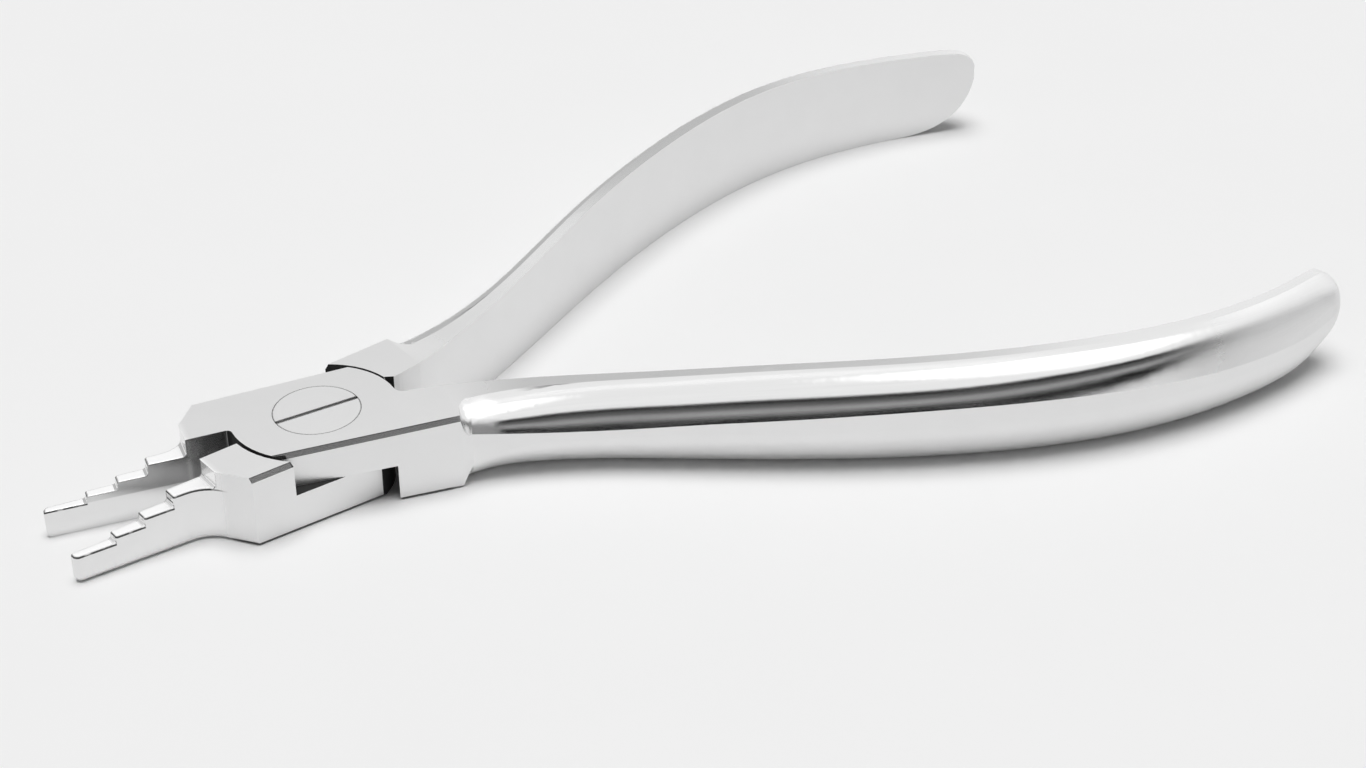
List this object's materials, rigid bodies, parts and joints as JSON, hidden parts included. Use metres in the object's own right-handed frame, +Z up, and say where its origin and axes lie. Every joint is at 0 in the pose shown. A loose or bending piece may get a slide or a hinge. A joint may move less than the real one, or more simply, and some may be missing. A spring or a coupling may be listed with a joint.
{
  "type": "orthodontic pliers",
  "caption": "Loop-forming orthodontic pliers with stepped beaks, a lap joint on a flush slotted screw and bowed half-round handles.",
  "frame": {"origin": "on the pivot axis, on the flat underside of the joint, which is the surface the pliers lie on", "axes": "+X from the pivot towards the handle ends, the beaks point to -X; +Y across, to the handle of the lower half; +Z up along the pivot, towards the screw head"},
  "size_m": [0.1319, 0.077, 0.0118],
  "materials": {
    "steel": "polished backs with fine lengthwise brushing, satin flats",
    "screw_steel": "satin"
  },
  "bodies": {
    "lower": {"lower_half": "steel", "pivot_screw": "screw_steel"},
    "upper": {"upper_half": "steel"}
  },
  "joints": [
    {"name": "pivot", "type": "hinge", "parent": "lower", "child": "upper", "pos_m": [0, 0, 0], "axis": [0, 0, 1], "range_deg": [-40, 16.5]}
  ]
}
